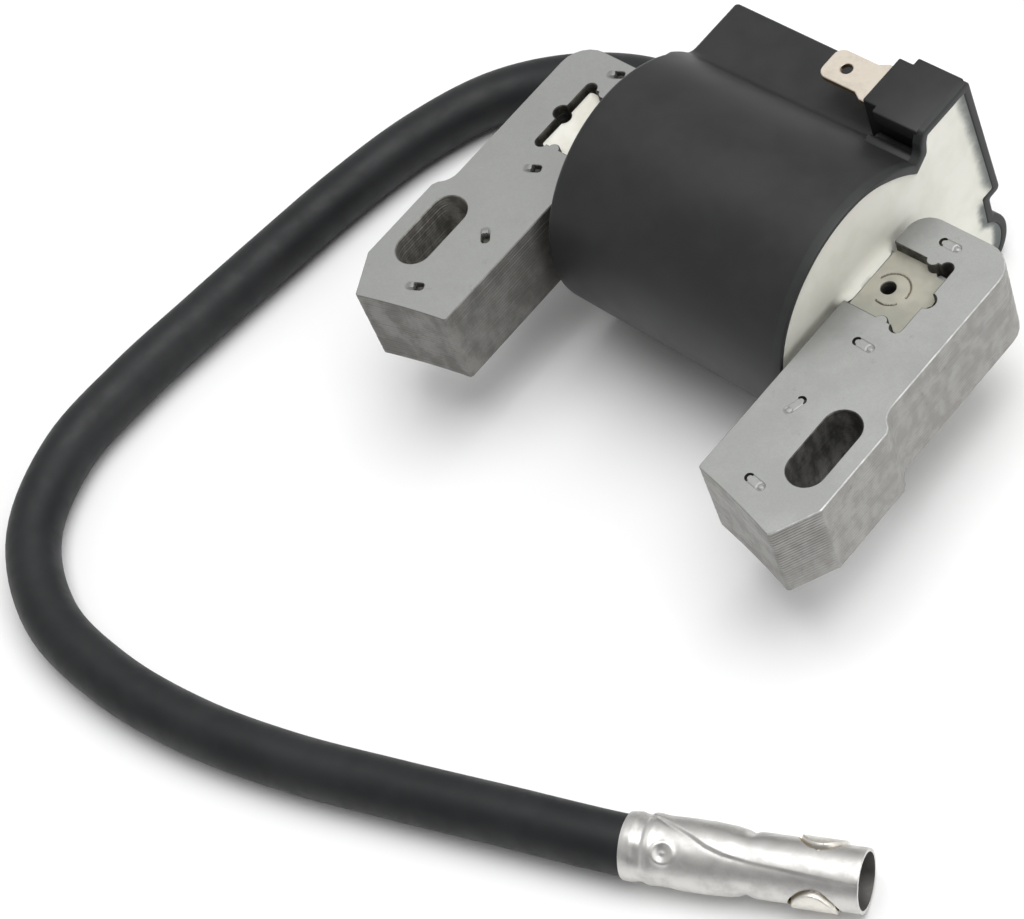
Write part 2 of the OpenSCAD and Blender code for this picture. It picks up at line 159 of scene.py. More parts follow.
# ---------------------------------------------------------------- sizes shared with the CAD
STACK_H, SHEETS = 12.5, 25
CORE_Y, MID_Z = 23.0, 6.25
BAR_W, BAR_H = 9.7, 8.5
BAR_Z = MID_Z - BAR_H / 2
LEG_INNER, LEG_OUTER, LEG_WAIST, LEG_BACK = 20.7, 37.0, 35.2, 33.5
FLYWHEEL_R = 119.0
POLE_Y, POLE_END, CHAMFER_Y = -9.8, 33.78, -6.9
FLYWHEEL_Y = POLE_Y - math.sqrt(FLYWHEEL_R ** 2 - LEG_INNER ** 2)
SLOT_X, SLOT_W, SLOT_LEN = 32.0, 5.0, 11.6
POCKET_END, POCKET_HALF, LOCK_X = 29.5, 4.95, 26.5
BAR_HOLE_X, BAR_HOLE_R = 23.3, 1.0
CAN_LEFT, CAN_RIGHT, CAN_R_LEFT, CAN_R_RIGHT = -18.4, 20.0, 17.0, 17.4
WALL = 1.2
BOX_LEFT, BOX_TOP, BOX_BACK, BOX_FOOT = -18.9, 15.5, 46.8, 47.5
WEB_Y, WEB_TOP, WEB_LOW, WEB_START = 45.4, 0.7, -11.0, 30.0
REAR_LEAN = (BOX_FOOT - BOX_BACK) / (BOX_TOP - WEB_TOP)
NECK_R, FOOT_REACH = 2.5, 7.0
BOSS_Y, BOSS_Z, BOSS_R = 42.4, -6.3, 4.85
BLOCK_LEFT, BLOCK_TOP, BLOCK_FRONT, BLOCK_REAR = 12.4, 22.5, 37.0, 46.4
TAB_TOP, TAB_T, TAB_Y = 20.4, 0.8, 42.0


# ---------------------------------------------------------------- mesh helpers
def modified(obj, *settings):
    """Adds modifiers and applies them all, so that the mesh itself holds the shape."""
    for kind, options in settings:
        modifier = obj.modifiers.new(kind.lower(), kind)
        for key, value in options.items():
            setattr(modifier, key, value)
    graph = bpy.context.evaluated_depsgraph_get()
    mesh = bpy.data.meshes.new_from_object(obj.evaluated_get(graph), depsgraph=graph)
    obj.modifiers.clear()
    old = obj.data
    obj.data = mesh
    bpy.data.meshes.remove(old)


def arc(cx, cy, r, a0, a1, n):
    """n + 1 points on an arc, angles in degrees."""
    return [(cx + r * math.cos(math.radians(a0 + (a1 - a0) * k / n)),
             cy + r * math.sin(math.radians(a0 + (a1 - a0) * k / n))) for k in range(n + 1)]


def circle(cx, cy, r, n):
    return arc(cx, cy, r, 0, 360, n)[:-1]


def sharp(points):
    return [(p, 0) for p in points]


def rounded(corners, n=5):
    """A closed outline of (point, radius) corners, each one rounded by its own radius."""
    out = []
    points = [p for p, _ in corners]
    count = len(points)
    for i, (_, r) in enumerate(corners):
        p = Vector(points[i])
        if r <= 0:
            out.append(tuple(p))
            continue
        a = (Vector(points[i - 1]) - p).normalized()
        b = (Vector(points[(i + 1) % count]) - p).normalized()
        half = a.angle(b) / 2
        reach = r / math.tan(half)
        centre = p + (a + b).normalized() * (r / math.sin(half))
        start, end = p + a * reach - centre, p + b * reach - centre
        turn = math.atan2(start.x * end.y - start.y * end.x, start.dot(end))
        for k in range(n + 1):
            c, s = math.cos(turn * k / n), math.sin(turn * k / n)
            out.append((centre.x + start.x * c - start.y * s, centre.y + start.x * s + start.y * c))
    return out


def spaced(points, step):
    """The closed outline again, with extra points so that no side is longer than step."""
    out = []
    for a, b in zip(points, points[1:] + points[:1]):
        n = max(1, math.ceil(math.dist(a, b) / step))
        out += [(a[0] + (b[0] - a[0]) * k / n, a[1] + (b[1] - a[1]) * k / n) for k in range(n)]
    return out


def signed_area(points):
    return sum(a[0] * b[1] - b[0] * a[1] for a, b in zip(points, points[1:] + points[:1])) / 2


def inset(points, d):
    """Moves each point of a closed outline inward by d, a distance or a function of the point."""
    sign = 1 if signed_area(points) > 0 else -1
    out = []
    count = len(points)
    for i, p in enumerate(points):
        a, b = points[i - 1], points[(i + 1) % count]
        e, f = Vector((p[0] - a[0], p[1] - a[1])), Vector((b[0] - p[0], b[1] - p[1]))
        e, f = e.normalized() if e.length else f.normalized(), f.normalized() if f.length else e.normalized()
        n = Vector((-(e.y + f.y), e.x + f.x))
        n = n.normalized() if n.length > 1e-9 else Vector((-e.y, e.x))
        scale = (d(p) if callable(d) else d) / max(0.5, abs(n.dot(Vector((-e.y, e.x)))))
        out.append((p[0] + sign * n.x * scale, p[1] + sign * n.y * scale))
    return out


def inside(p, loop):
    hit = False
    for a, b in zip(loop, loop[1:] + loop[:1]):
        if (a[1] > p[1]) != (b[1] > p[1]) and p[0] < (b[0] - a[0]) * (p[1] - a[1]) / (b[1] - a[1]) + a[0]:
            hit = not hit
    return hit


def filled(loops, extra=()):
    """Triangles that fill the first loop, less the holes in the others: (points, triangles)."""
    points = [Vector(p) for loop in loops for p in loop] + [Vector(p) for p in extra]
    edges, base = [], 0
    for loop in loops:
        edges += [(base + i, base + (i + 1) % len(loop)) for i in range(len(loop))]
        base += len(loop)
    verts, _, faces, origin, _, _ = delaunay_2d_cdt(points, edges, [], 0, 1e-6)
    where = {}
    for i, source in enumerate(origin):
        for s in source:
            where[s] = i
    kept = []
    for f in faces:
        c = (sum(verts[i].x for i in f) / 3, sum(verts[i].y for i in f) / 3)
        if inside(c, loops[0]) and not any(inside(c, hole) for hole in loops[1:]):
            kept.append(tuple(f))
    return [tuple(v) for v in verts], kept, where


def yz(x, loop):
    return [(x, y, z) for y, z in loop]


def xy(loop, z):
    return [(x, y, z) for x, y in loop]


def bell(v, middle, width, power=2):
    return math.exp(-((v - middle) / width) ** power)


def looked_up(table, v, ease=lambda t: t):
    """The value at v in a table of (place, value) pairs."""
    for (v0, a), (v1, b) in zip(table, table[1:]):
        if v <= v1:
            return a + (b - a) * ease(clamped((v - v0) / (v1 - v0)))
    return table[-1][1]


def clamped(v):
    return max(0.0, min(1.0, v))


def soft(t):
    return t * t * (3 - 2 * t)


def eased(v, low, high):
    return soft(clamped((v - low) / (high - low)))


class Build:
    """Collects points and faces of one piece."""

    def __init__(self):
        self.verts, self.faces, self.mats = [], [], []

    def ring(self, points):
        start = len(self.verts)
        self.verts += points
        return list(range(start, start + len(points)))

    def face(self, ids, mat=0):
        self.faces.append(tuple(ids))
        self.mats.append(mat)

    def bridge(self, a, b, mat=0, closed=True):
        n = len(a)
        for i in range(n if closed else n - 1):
            j = (i + 1) % n
            self.face((a[i], a[j], b[j], b[i]), mat)

    def loft(self, rings, mat=0, closed=True):
        for a, b in zip(rings, rings[1:]):
            self.bridge(a, b, mat, closed)

    def rod(self, rings):
        """A solid between its first and last ring, both of which are closed."""
        self.loft(rings)
        self.face(reversed(rings[0]))
        self.face(rings[-1])

    def fill(self, loops, place, mat=0, extra=()):
        """Fills a flat outline, less its holes. Each loop is (point numbers, flat points), and place
        turns a flat point that is new into a point of the piece."""
        ids = [i for ring, _ in loops for i in ring]
        verts, faces, where = filled([flat for _, flat in loops], extra)
        known = {}
        for k, number in enumerate(ids):
            known.setdefault(where[k], number)
        for f in faces:
            for i in f:
                if i not in known:
                    known[i] = len(self.verts)
                    self.verts.append(tuple(place(verts[i])))
            self.face([known[i] for i in f], mat)

    def plain(self, name):
        """The piece as a bare object, with its faces turned outward."""
        obj = mesh_object(name, self.verts, self.faces)
        bm = bmesh.new()
        bm.from_mesh(obj.data)
        bmesh.ops.recalc_face_normals(bm, faces=bm.faces)
        bm.to_mesh(obj.data)
        bm.free()
        return obj

    def make(self, name, node, materials, smooth_deg, flat_mat=None):
        """The piece on the body. Faces of flat_mat are shaded flat, in the first material."""
        obj = self.plain(name)
        for m in materials:
            obj.data.materials.append(m)
        obj.data.polygons.foreach_set("material_index", self.mats)
        smooth(obj, smooth_deg)
        for polygon in obj.data.polygons:
            if polygon.material_index == flat_mat:
                polygon.use_smooth = False
                polygon.material_index = 0
        on_body(obj, node)
        return obj


# ---------------------------------------------------------------- materials
def material(name, base, metallic, roughness, **sockets):
    """A material with its Principled shader and nothing linked yet."""
    m = bpy.data.materials.new(name)
    m.use_nodes = True
    shader = m.node_tree.nodes["Principled BSDF"]
    shader.inputs["Base Color"].default_value = (*base, 1)
    shader.inputs["Metallic"].default_value = metallic
    shader.inputs["Roughness"].default_value = roughness
    for key, value in sockets.items():
        shader.inputs[key.replace("_", " ")].default_value = value
    return m


class Nodes:
    """Short names for the few node kinds the materials use. Lengths are in millimetres."""

    def __init__(self, m):
        self.tree = m.node_tree
        self.shader = self.tree.nodes["Principled BSDF"]
        self.at = self.tree.nodes.new("ShaderNodeTexCoord").outputs["Object"]
        self.bump_out = None

    def link(self, a, b):
        self.tree.links.new(a, b)

    def noise(self, size, detail, rough, shift=0.0, stretch=(1, 1, 1)):
        mapping = self.tree.nodes.new("ShaderNodeMapping")
        mapping.inputs["Scale"].default_value = [1 / (size * MM * s) for s in stretch]
        mapping.inputs["Location"].default_value = (shift, shift * 0.7, shift * 1.3)
        self.link(self.at, mapping.inputs["Vector"])
        node = self.tree.nodes.new("ShaderNodeTexNoise")
        node.inputs["Scale"].default_value = 1.0
        node.inputs["Detail"].default_value = detail
        node.inputs["Roughness"].default_value = rough
        self.link(mapping.outputs["Vector"], node.inputs["Vector"])
        return node.outputs["Fac"]

    def ramp(self, value, low, high, a=0.0, b=1.0):
        node = self.tree.nodes.new("ShaderNodeMapRange")
        node.interpolation_type = "SMOOTHSTEP"
        for key, v in (("From Min", low), ("From Max", high), ("To Min", a), ("To Max", b)):
            node.inputs[key].default_value = v
        self.link(value, node.inputs["Value"])
        return node.outputs["Result"]

    def xyz(self):
        node = self.tree.nodes.new("ShaderNodeSeparateXYZ")
        self.link(self.at, node.inputs["Vector"])
        return node.outputs

    def math(self, kind, a, b=0.0):
        node = self.tree.nodes.new("ShaderNodeMath")
        node.operation = kind
        for socket, v in zip(node.inputs, (a, b)):
            if isinstance(v, (int, float)):
                socket.default_value = v
            else:
                self.link(v, socket)
        return node.outputs[0]

    def times(self, value, *more):
        for v in more:
            value = self.math("MULTIPLY", value, v)
        return value

    def plus(self, value, *more):
        for v in more:
            value = self.math("ADD", value, v)
        return value

    def within(self, value, low, high, a=0.0, b=1.0):
        """Like ramp, for a coordinate: low and high are in millimetres."""
        return self.ramp(value, low * MM, high * MM, a, b)

    def mix(self, factor, a, b):
        node = self.tree.nodes.new("ShaderNodeMix")
        node.data_type = "RGBA"
        self.link(factor, node.inputs["Factor"])
        for socket, v in ((node.inputs[6], a), (node.inputs[7], b)):
            if isinstance(v, tuple):
                socket.default_value = (*v, 1)
            else:
                self.link(v, socket)
        return node.outputs[2]

    def colour(self, value):
        self.link(value, self.shader.inputs["Base Color"])

    def rough(self, value):
        self.link(value, self.shader.inputs["Roughness"])

    def bump(self, value, depth_mm):
        node = self.tree.nodes.new("ShaderNodeBump")
        node.inputs["Strength"].default_value = 1.0
        node.inputs["Distance"].default_value = depth_mm * MM
        self.link(value, node.inputs["Height"])
        if self.bump_out is not None:
            self.link(self.bump_out, node.inputs["Normal"])
        self.bump_out = node.outputs["Normal"]
        self.link(self.bump_out, self.shader.inputs["Normal"])


def times(colour, factor):
    return tuple(c * factor for c in colour)


def steel(name, light, dark, roughness, tall, stain, size, can_shade=0.0, sheared=0.0):
    """Electrical steel: mottled, with fine grain and a few darker stains. It can be darkened next to the can:
    painted shade of the can.
    sheared draws the gaps between the sheets, most on the front chamfer."""
    m = material(name, light, 0.62, roughness)
    n = Nodes(m)
    stretch = (1, 1, tall)
    blotch = n.ramp(n.noise(size, 4, 0.6, 0.0, stretch), 0.36, 0.66)
    grain = n.ramp(n.noise(0.22, 2, 0.6, 5, stretch), 0.3, 0.7)
    colour = n.mix(blotch, dark, light)
    colour = n.mix(n.ramp(grain, 0, 1, 0.0, 0.16), colour, times(dark, 0.72))
    spots = n.ramp(n.noise(1.7, 5, 0.7, 11, stretch), 0.61, 0.74, 0.0, stain)
    colour = n.mix(spots, colour, tuple(c * f for c, f in zip(dark, (0.60, 0.55, 0.46))))
    # painted shade: darkens the steel next to the can, where the can's shadow falls
    if can_shade:
        x, y, _ = n.xyz()
        edge = n.plus(x, n.times(n.noise(4.0, 3, 0.6, 21), 5.0 * MM))
        near = n.times(n.within(edge, 23.0, 29.0, 1.0, 0.0), n.within(y, 6.0, 15.0, 0.0, can_shade))
        colour = n.mix(near, colour, times(dark, 0.5))
    if sheared:
        x, y, z = n.xyz()
        turns = n.times(z, 2 * math.pi * SHEETS / (STACK_H * MM))
        line = n.ramp(n.math("COSINE", turns), -0.1, 0.9, 0.0, sheared)
        patchy = n.ramp(n.noise(2.4, 3, 0.6, 17), 0.30, 0.50, 0.35, 1.0)
        chamfer = n.times(n.within(x, POLE_END - 0.48, POLE_END + 0.32),
                          n.within(y, CHAMFER_Y - 1.0, CHAMFER_Y + 0.2, 1.0, 0.12))
        fading = n.within(z, 1.5, 7.0, 0.2, 1.0)
        colour = n.mix(n.times(line, patchy, n.times(chamfer, fading)), colour, times(dark, 0.32))
    n.colour(colour)
    n.rough(n.ramp(blotch, 0, 1, roughness + 0.06, roughness - 0.04))
    n.bump(n.noise(0.16, 2, 0.5, 2, stretch), 0.006)
    n.bump(n.noise(1.4, 3, 0.6, 3, stretch), 0.01)
    return m


SHEET_LIGHT, SHEET_DARK = (0.345, 0.35, 0.34), (0.315, 0.32, 0.31)
STEEL_FACE = steel("steel_sheet_face", SHEET_LIGHT, SHEET_DARK, 0.47, 1, 0.30, 9.0)
# the right leg's face, with painted shade of the can next to the can
STEEL_FACE_CAN_SHADE = steel("steel_sheet_face_can_shade", SHEET_LIGHT, SHEET_DARK, 0.47, 1, 0.30, 9.0, can_shade=0.6)
STEEL_EDGE = steel("steel_cut_edge", (0.36, 0.355, 0.34), (0.305, 0.30, 0.285), 0.50, 1.2, 0.6, 2.2,
                   sheared=0.62)
# the left leg's cut edges: a darker copy of the edge steel, painted shade of the can on that leg
STEEL_EDGE_SHADED = steel("steel_cut_edge_painted_shade", (0.25, 0.245, 0.23), (0.17, 0.165, 0.155), 0.50, 1.4, 0.5, 3.4)
# slot walls: a dark copy with painted shade for the right leg, a lighter lit copy for the left leg
STEEL_BORE_SHADE = steel("steel_slot_wall_painted_shade", (0.15, 0.145, 0.135), (0.06, 0.057, 0.052), 0.55, 2.0, 0.7, 1.6)
STEEL_BORE_LIT = steel("steel_slot_wall_lit", (0.34, 0.33, 0.30), (0.18, 0.17, 0.155), 0.50, 2.5, 0.7, 1.4)
# burr ring: a painted highlight on the right leg's lit outer edges, over the burr's lighter worn metal
STEEL_BURR_HIGHLIGHT = steel("steel_burr_painted_highlight", (0.72, 0.72, 0.71), (0.50, 0.50, 0.49), 0.36, 1, 0.2, 1.6)
# painted shade: the dark wall of the pockets, the bar's sides and holes, and the deep stake hollows
POCKET_SHADE = steel("steel_pocket_wall_painted_shade", (0.13, 0.125, 0.11), (0.05, 0.047, 0.042), 0.55, 1.4, 0.5, 1.6)


def moulded(name, base, roughness, scuff):
    """Black moulded plastic: a fine satin texture with a few dusty scuffs."""
    m = material(name, base, 0.0, roughness, Specular_IOR_Level=0.36)
    n = Nodes(m)
    cloud = n.noise(7, 3, 0.6, 4)
    dust = n.ramp(n.noise(0.7, 6, 0.75, 9), 0.64, 0.80, 0.0, scuff)
    colour = n.mix(n.ramp(cloud, 0.35, 0.65), times(base, 0.86), times(base, 1.12))
    n.colour(n.mix(dust, colour, (0.13, 0.13, 0.12)))
    n.rough(n.ramp(cloud, 0.3, 0.7, roughness - 0.03, roughness + 0.04))
    n.bump(n.noise(0.12, 2, 0.6), 0.0035)
    n.bump(n.noise(2.5, 2, 0.5, 6), 0.006)
    return m


HOUSING = moulded("housing_black_plastic", (0.019, 0.019, 0.020), 0.44, 0.25)
HOUSING_RIM = moulded("housing_rim_plastic", (0.024, 0.025, 0.025), 0.5, 0.5)


def resin(name, base, tint, roughness, subsurface, wall_shade=None):
    """Cured resin. The last argument is a painted shade colour, laid next to the box's rear wall, the web and
    the boss.
    """
    m = material(name, base, 0.0, roughness, Subsurface_Weight=subsurface, Subsurface_Scale=0.8 * MM)
    m.node_tree.nodes["Principled BSDF"].inputs["Subsurface Radius"].default_value = (1.0, 0.9, 0.7)
    n = Nodes(m)
    colour = n.mix(n.ramp(n.noise(5.5, 3, 0.55, 2), 0.38, 0.64), base, tint)
    # painted shade: darkens the resin along the rear wall, round the boss and by the web
    if wall_shade:
        _, y, z = n.xyz()
        ragged = n.times(n.noise(3.0, 3, 0.6, 15), 1.6 * MM)
        rear = n.within(n.plus(y, n.times(z, REAR_LEAN), ragged), BOX_FOOT - 2.0, BOX_FOOT - 0.3, 0.0, 0.9)
        dy, dz = n.math("SUBTRACT", y, BOSS_Y * MM), n.math("SUBTRACT", z, BOSS_Z * MM)
        off = n.math("SQRT", n.plus(n.times(dy, dy), n.times(dz, dz)))
        boss = n.times(n.within(n.plus(off, ragged), BOSS_R - 2.0, BOSS_R - 0.8, 0.0, 0.95),
                       n.within(z, -3.6, -2.4, 1.0, 0.0), n.within(y, BOSS_Y, BOSS_Y + 2.0))
        web = n.times(n.within(n.plus(y, ragged), WEB_Y - 1.7, WEB_Y - 0.5, 0.0, 0.95),
                      n.within(z, 0.4, 1.6, 1.0, 0.0), n.within(z, -4.6, -3.2))
        colour = n.mix(n.math("MAXIMUM", rear, n.math("MAXIMUM", boss, web)), colour, wall_shade)
    n.colour(colour)
    n.rough(n.ramp(n.noise(2.2, 3, 0.6, 7), 0.35, 0.65, roughness - 0.05, roughness + 0.08))
    n.bump(n.noise(1.1, 3, 0.6, 8), 0.012)
    n.bump(n.noise(0.2, 2, 0.6, 12), 0.003)
    return m


# the last colour is the painted shade along the walls
POTTING = resin("potting_resin", (0.80, 0.79, 0.72), (0.74, 0.74, 0.66), 0.36, 0.15, (0.10, 0.12, 0.12))
EPOXY_PALE = resin("joint_epoxy_pale", (0.80, 0.79, 0.72), (0.70, 0.68, 0.60), 0.38, 0.1)
EPOXY_AMBER = resin("joint_epoxy_grey", (0.385, 0.37, 0.305), (0.30, 0.295, 0.25), 0.42, 0.05)
# dark resin for the grooves of the punch's ring marks
EPOXY_RING_MARK = resin("joint_epoxy_ring_mark", (0.14, 0.115, 0.085), (0.08, 0.07, 0.055), 0.5, 0.0)


def plated(name, base, roughness, stretch=(1, 1, 1)):
    """Bright plated sheet with faint draw lines, smudges and small dents."""
    m = material(name, base, 1.0, roughness)
    n = Nodes(m)
    smudge = n.noise(2.4, 4, 0.65, 3)
    n.colour(n.mix(n.ramp(smudge, 0.4, 0.7), base, times(base, 0.86)))
    n.rough(n.ramp(smudge, 0.35, 0.7, roughness - 0.04, roughness + 0.10))
    n.bump(n.noise(0.10, 2, 0.5, 1, stretch), 0.002)
    n.bump(n.noise(1.6, 2, 0.5, 8), 0.006)
    return m


PLATED = plated("plated_terminal_steel", (0.68, 0.67, 0.65), 0.45)
# inside of the barrel: a dark copy of the plating, painted shade
PLATED_BORE_SHADE = plated("plated_terminal_bore_painted_shade", (0.30, 0.29, 0.28), 0.50)
SPRING = plated("plated_spring_steel", (0.80, 0.78, 0.72), 0.44)
TIN = plated("tinned_blade", (0.66, 0.60, 0.52), 0.48, (4, 1, 1))
BRASS_EDGE = plated("brass_cut_edge", (0.50, 0.36, 0.18), 0.42, (1, 1, 3))
COPPER = plated("enamelled_copper_wire", (0.60, 0.25, 0.10), 0.34)


def rubber():
    """Lead jacket: matte extruded rubber with faint draw lines and a little dust."""
    m = material("lead_black_rubber", (0.013, 0.014, 0.015), 0.0, 0.55, Specular_IOR_Level=0.32)
    n = Nodes(m)
    cloud = n.noise(9, 3, 0.6)
    colour = n.mix(n.ramp(cloud, 0.35, 0.65), (0.010, 0.011, 0.012), (0.016, 0.017, 0.018))
    dust = n.ramp(n.noise(0.5, 5, 0.75, 4), 0.66, 0.82, 0.0, 0.3)
    n.colour(n.mix(dust, colour, (0.10, 0.10, 0.10)))
    n.rough(n.ramp(n.noise(3, 3, 0.6, 2), 0.35, 0.65, 0.48, 0.58))
    n.bump(n.noise(0.25, 3, 0.6), 0.005)
    n.bump(n.noise(3.5, 2, 0.5, 6), 0.02)
    return m


RUBBER = rubber()
FLOOR = material("studio_floor", (0.93, 0.93, 0.93), 0.0, 0.7)
FR4 = moulded("board_solder_mask", (0.02, 0.13, 0.05), 0.35, 0.1)
BODY_BLACK = moulded("component_black", (0.022, 0.022, 0.022), 0.4, 0.3)
CERAMIC = resin("capacitor_ceramic", (0.50, 0.33, 0.14), (0.42, 0.27, 0.10), 0.5, 0.0)
FILM = resin("insulation_film", (0.55, 0.42, 0.16), (0.48, 0.36, 0.12), 0.3, 0.0)
BOBBIN = moulded("bobbin_plastic", (0.09, 0.09, 0.09), 0.5, 0.3)
NODE_MATERIALS = [
    (BOBBIN, ("primary_bobbin", "secondary_bobbin")),
    (COPPER, ("primary_winding", "secondary_winding", "primary_leads", "secondary_jumper", "lead_conductor")),
    (FILM, ("insulation_wrap",)), (POTTING, ("potting",)), (FR4, ("circuit_board",)),
    (BODY_BLACK, ("power_transistor", "driver_transistor", "bias_resistors", "clamp_diode")),
    (CERAMIC, ("filter_capacitor",)), (TIN, ("ground_strap", "lead_contact")), (STEEL_EDGE, ("core_bar",)),
]


# ---------------------------------------------------------------- lamination stacks
def leg_outline():
    """Right leg's outline, counter-clockwise from the inner corner of its pole face."""
    a0 = math.degrees(math.atan2(POLE_Y - FLYWHEEL_Y, LEG_INNER))
    a1 = math.degrees(math.acos(POLE_END / FLYWHEEL_R))
    pole = arc(0, FLYWHEEL_Y, FLYWHEEL_R, a0, a1, 10)
    opening = math.degrees(math.asin(0.25 / 0.9))
    corners = [(pole[0], 0.5)] + sharp(pole[1:-1]) + [(pole[-1], 0.55)]
    corners += [((LEG_OUTER, CHAMFER_Y), 0.8), ((LEG_OUTER, 5.5), 0.6)]
    corners += sharp(arc(38.2, 8.8, 3, 237.2, 180, 8))
    corners += [((LEG_WAIST, LEG_BACK), 4), ((LEG_INNER, LEG_BACK), 3)]
    upper = [((LEG_INNER, POCKET_HALF), 0.25)]
    upper += sharp(arc(LOCK_X, POCKET_HALF + 0.25, 0.9, 180 + opening, 360 - opening, 10))
    upper += sharp(arc(28.7, POCKET_HALF, 0.8, 180, 0, 12) + arc(POCKET_END, 0, 1.1, 90, 0, 7))
    lower = [((x, -y), r) for (x, y), r in reversed(upper[:-1])]
    corners += [((x, y + CORE_Y), r) for (x, y), r in upper + lower]
    return spaced(rounded(corners, 6), 0.9)


def obround(cx, cy, length, width, turn, n=10):
    """Slot outline with its long side along X before it is turned."""
    reach = (length - width) / 2
    loop = arc(reach, 0, width / 2, -90, 90, n) + arc(-reach, 0, width / 2, 90, 270, n)
    c, s = math.cos(math.radians(turn)), math.sin(math.radians(turn))
    return [(cx + x * c - y * s, cy + x * s + y * c) for x, y in loop]


STAKES = {1: [(27.0, 30.9, 0), (26.9, 14.0, -2), (25.2, 3.0, 254), (27.9, -7.9, -9)],
          -1: [(27.2, 31.3, -25), (26.8, 14.1, -25), (25.1, 2.9, 50), (27.8, -7.8, -25)]}
STAKE_W = 1.3
HOLLOW = -0.18
# material numbers of a stack: stakes, edges, slot or hole walls, flat faces, pocket and hollows (painted
# shade), burr (a painted highlight on the right leg)
STAKE, EDGE, BORE, FLAT, PAINTED_SHADE, BURR = range(6)


def pressed_in(u, v):
    """Height of a stake from the punch side: flush, with a deep crescent at one end and an eye at the other."""
    crescent = eased(math.hypot(u + 0.86, v), 0.36, 0.52) * eased(-u, 0.80, 1.0)
    eye = math.hypot(u - 0.98, v)
    groove = 0.14 * bell(eye, 0.44, 0.11) * eased(u, 0.4, 0.9)
    edge = 0.05 * eased(abs(v), 0.48, 0.6)
    return -0.6 * crescent - groove - edge - 0.01


def pushed_out(u, v):
    """Height of a stake seen from the far side: a lip lifted at one end, open behind it."""
    rim = eased(0.62 - abs(v), 0.0, 0.25)
    if u < 0.0:
        return 0.36 * rim * eased(u, -1.3, -0.35)
    return -0.7 * rim * eased(1.3 - u, 0.0, 0.5) * eased(u + 0.9 * abs(v), 0.0, 0.12)


def stack(build, outline, holes, z0, sheets, sheet_h, rng, mirror=1, stakes=(), height=None, length=2.6):
    """Piles sheets of one outline with holes. Each sheet is shifted a hair, and its edges are eased."""
    ease, burr = 0.045, 0.13
    levels = []
    for i in range(sheets):
        dx, dy = rng.uniform(-0.012, 0.012), rng.uniform(-0.012, 0.012)
        grow = rng.uniform(-0.008, 0.008)
        low, high = z0 + i * sheet_h, z0 + (i + 1) * sheet_h
        top_ease = burr if i == sheets - 1 else ease
        low_ease = burr if i == 0 else ease
        levels += [(low, low_ease - grow, dx, dy), (low + low_ease, -grow, dx, dy),
                   (high - top_ease, -grow, dx, dy), (high, top_ease - grow, dx, dy)]
    loops = [outline] + holes
    rings = [[] for _ in loops]
    flats = [[] for _ in loops]
    for z, e, dx, dy in levels:
        for k, loop in enumerate(loops):
            flat = [(mirror * (x + dx), y + dy) for x, y in inset(loop, e if k == 0 else -e)]
            flats[k].append(flat)
            rings[k].append(build.ring(xy(flat, z)))
    for k in range(len(loops)):
        for level, (a, b) in enumerate(zip(rings[k], rings[k][1:])):
            first = len(build.faces)
            build.bridge(a, b, EDGE if k == 0 else BORE)
            for i in range(len(loops[k]) if k == 0 else 0):
                x, y = loops[k][i]
                # edges in the pocket take painted shade; the outer top ring takes the burr material
                if x < POCKET_END + 1.2 and abs(y - CORE_Y) < POCKET_HALF + 0.95:
                    build.mats[first + i] = PAINTED_SHADE
                elif level == len(levels) - 2 and x > 33.5:
                    build.mats[first + i] = BURR
    bottom = [(rings[k][0], flats[k][0]) for k in range(len(loops))]
    build.fill(bottom, lambda p: (*p, z0), FLAT)
    top_z = levels[-1][0]
    marks = []
    for cx, cy, turn in stakes:
        cx, turn = mirror * cx, turn if mirror > 0 else 180 - turn
        loop = obround(cx, cy, length, STAKE_W, turn)
        core = inset(loop, 0.06)
        ids = build.ring(xy(loop, top_z))
        marks.append((ids, loop))
        c, s = math.cos(math.radians(turn)), math.sin(math.radians(turn))
        grid = [(a * 0.08, b * 0.08) for a in range(-20, 21) for b in range(-8, 9)]
        inner = [(cx + u * c - v * s, cy + u * s + v * c) for u, v in grid]

        def floor_at(p, cx=cx, cy=cy, c=c, s=s):
            u = (p[0] - cx) * c + (p[1] - cy) * s
            v = -(p[0] - cx) * s + (p[1] - cy) * c
            return (*p, top_z + height(u if mirror > 0 else -u, v))

        first = len(build.faces)
        build.fill([(ids, loop)], floor_at, STAKE, [p for p in inner if inside(p, core)])
        # stake floors deep in the hollow take painted shade
        for i in range(first, len(build.faces)):
            if sum(build.verts[j][2] for j in build.faces[i]) / 3 - top_z < HOLLOW:
                build.mats[i] = PAINTED_SHADE
    build.fill([(rings[k][-1], flats[k][-1]) for k in range(len(loops))] + marks, lambda p: (*p, top_z), FLAT)


def make_legs():
    slot_hole = obround(SLOT_X, 0, SLOT_LEN, SLOT_W, 90, 16)
    for name, mirror, height, length, face, edge, bore, burr in (
            ("right", 1, pressed_in, 3.2, STEEL_FACE_CAN_SHADE, STEEL_EDGE, STEEL_BORE_SHADE, STEEL_BURR_HIGHLIGHT),
            # the left leg takes the painted-shade copy of the edge steel for its edges and burr ring
            ("left", -1, pushed_out, 2.7, STEEL_FACE, STEEL_EDGE_SHADED, STEEL_BORE_LIT, STEEL_EDGE_SHADED)):
        build = Build()
        stack(build, leg_outline(), [slot_hole], 0, SHEETS, STACK_H / SHEETS, random.Random(7 + mirror),
              mirror, STAKES[mirror], height, length)
        build.make(f"core_leg_{name}_sheets", f"core_leg_{name}",
                   [face, edge, bore, face, POCKET_SHADE, burr], 40, FLAT)


